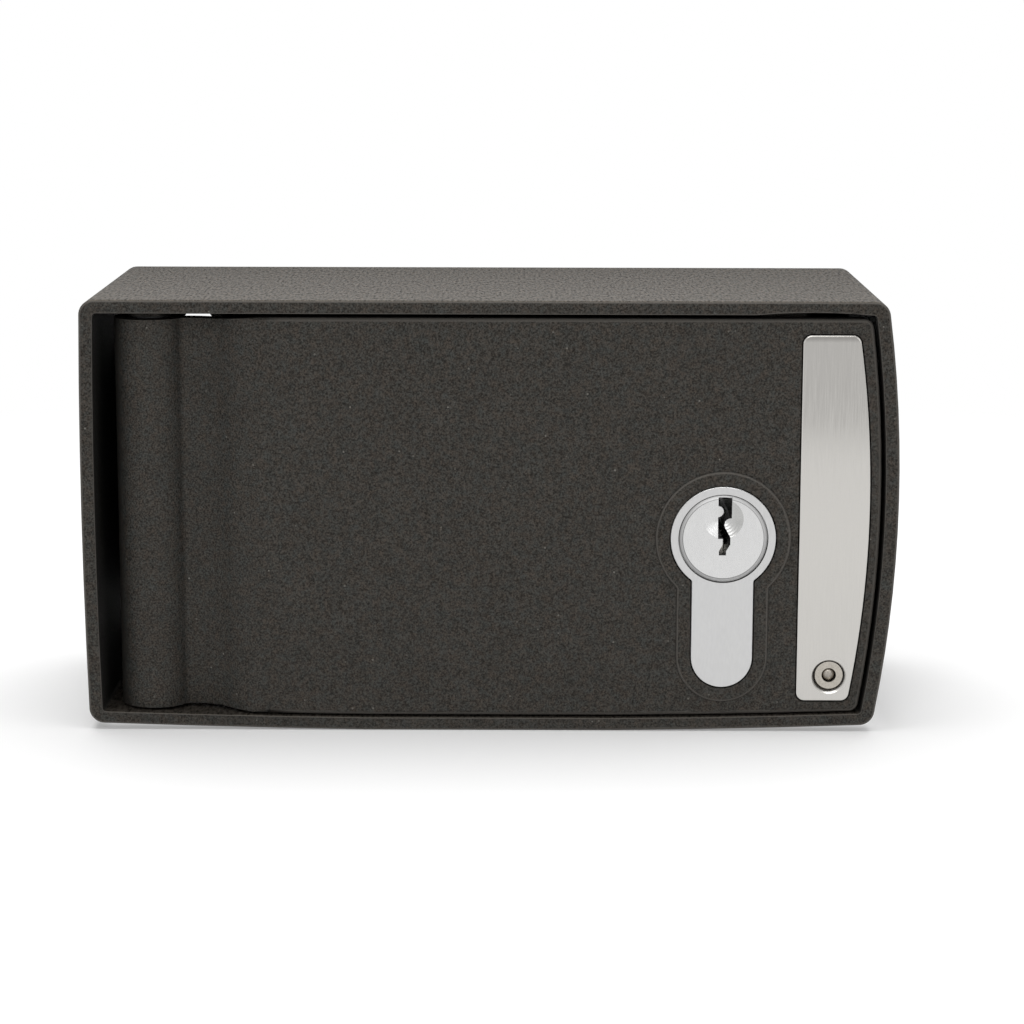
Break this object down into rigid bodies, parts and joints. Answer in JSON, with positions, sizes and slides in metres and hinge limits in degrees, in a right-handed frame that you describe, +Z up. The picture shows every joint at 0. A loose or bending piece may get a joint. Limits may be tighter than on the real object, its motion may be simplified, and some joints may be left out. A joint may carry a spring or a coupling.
{
  "type": "key release box",
  "caption": "Small cast key box with a hinged inset door, half euro-profile cylinder, slide bolt and steel trim strip.",
  "frame": {"origin": "middle of the footprint, at the level of the flat foot of the underside", "axes": "+X to the right seen from the front, +Y from the door to the back wall, +Z up"},
  "size_m": [0.131, 0.053, 0.07],
  "materials": {
    "powder_coat": "fine textured black powder coat",
    "satin_nickel": "satin nickel plate on brass",
    "brushed_stainless": "brushed along its length",
    "stainless": "plain stainless",
    "zinc_plate": "clear zinc plate",
    "dark_steel": "hardened, oiled",
    "brass": "turned",
    "spring_steel": "drawn wire",
    "nylon": "black nylon",
    "black_rubber": "soft rubber"
  },
  "bodies": {
    "case": {"casing": "powder_coat", "hinge_pin": "stainless", "hinge_washers": "nylon", "keep_block": "zinc_plate", "keep_screws": "zinc_plate", "door_buffers": "black_rubber", "key_rail": "zinc_plate", "rail_screws": "zinc_plate"},
    "door": {"door": "powder_coat", "cylinder_body": "satin_nickel", "cylinder_fixing_screw": "zinc_plate", "driver_pins": "brass", "pin_springs": "spring_steel", "chamber_plugs": "brass", "bolt_cover": "zinc_plate", "bolt_cover_screws": "zinc_plate", "trim_strip": "brushed_stainless", "strip_rivet": "stainless", "rivet_mandrel": "stainless"},
    "plug": {"cylinder_plug": "satin_nickel", "key_pins": "dark_steel", "plug_circlip": "dark_steel", "cylinder_cam": "dark_steel"},
    "bolt": {"slide_bolt": "zinc_plate"}
  },
  "joints": [
    {"name": "door_swing", "type": "hinge", "parent": "case", "child": "door", "pos_m": [-0.0547, -0.0194, 0.035], "axis": [0, 0, -1], "range_deg": [0, 110]},
    {"name": "key_turn", "type": "hinge", "parent": "door", "child": "plug", "pos_m": [0.03745, -0.0265, 0.0318], "axis": [0, -1, 0], "range_deg": [0, 45]},
    {"name": "bolt_slide", "type": "slide", "parent": "door", "child": "bolt", "axis": [1, 0, 0], "range_m": [0, 0.00971]}
  ],
  "couplings": [
    {"joint": "bolt_slide", "follows": "key_turn", "m_per_rad": 0.012367}
  ]
}
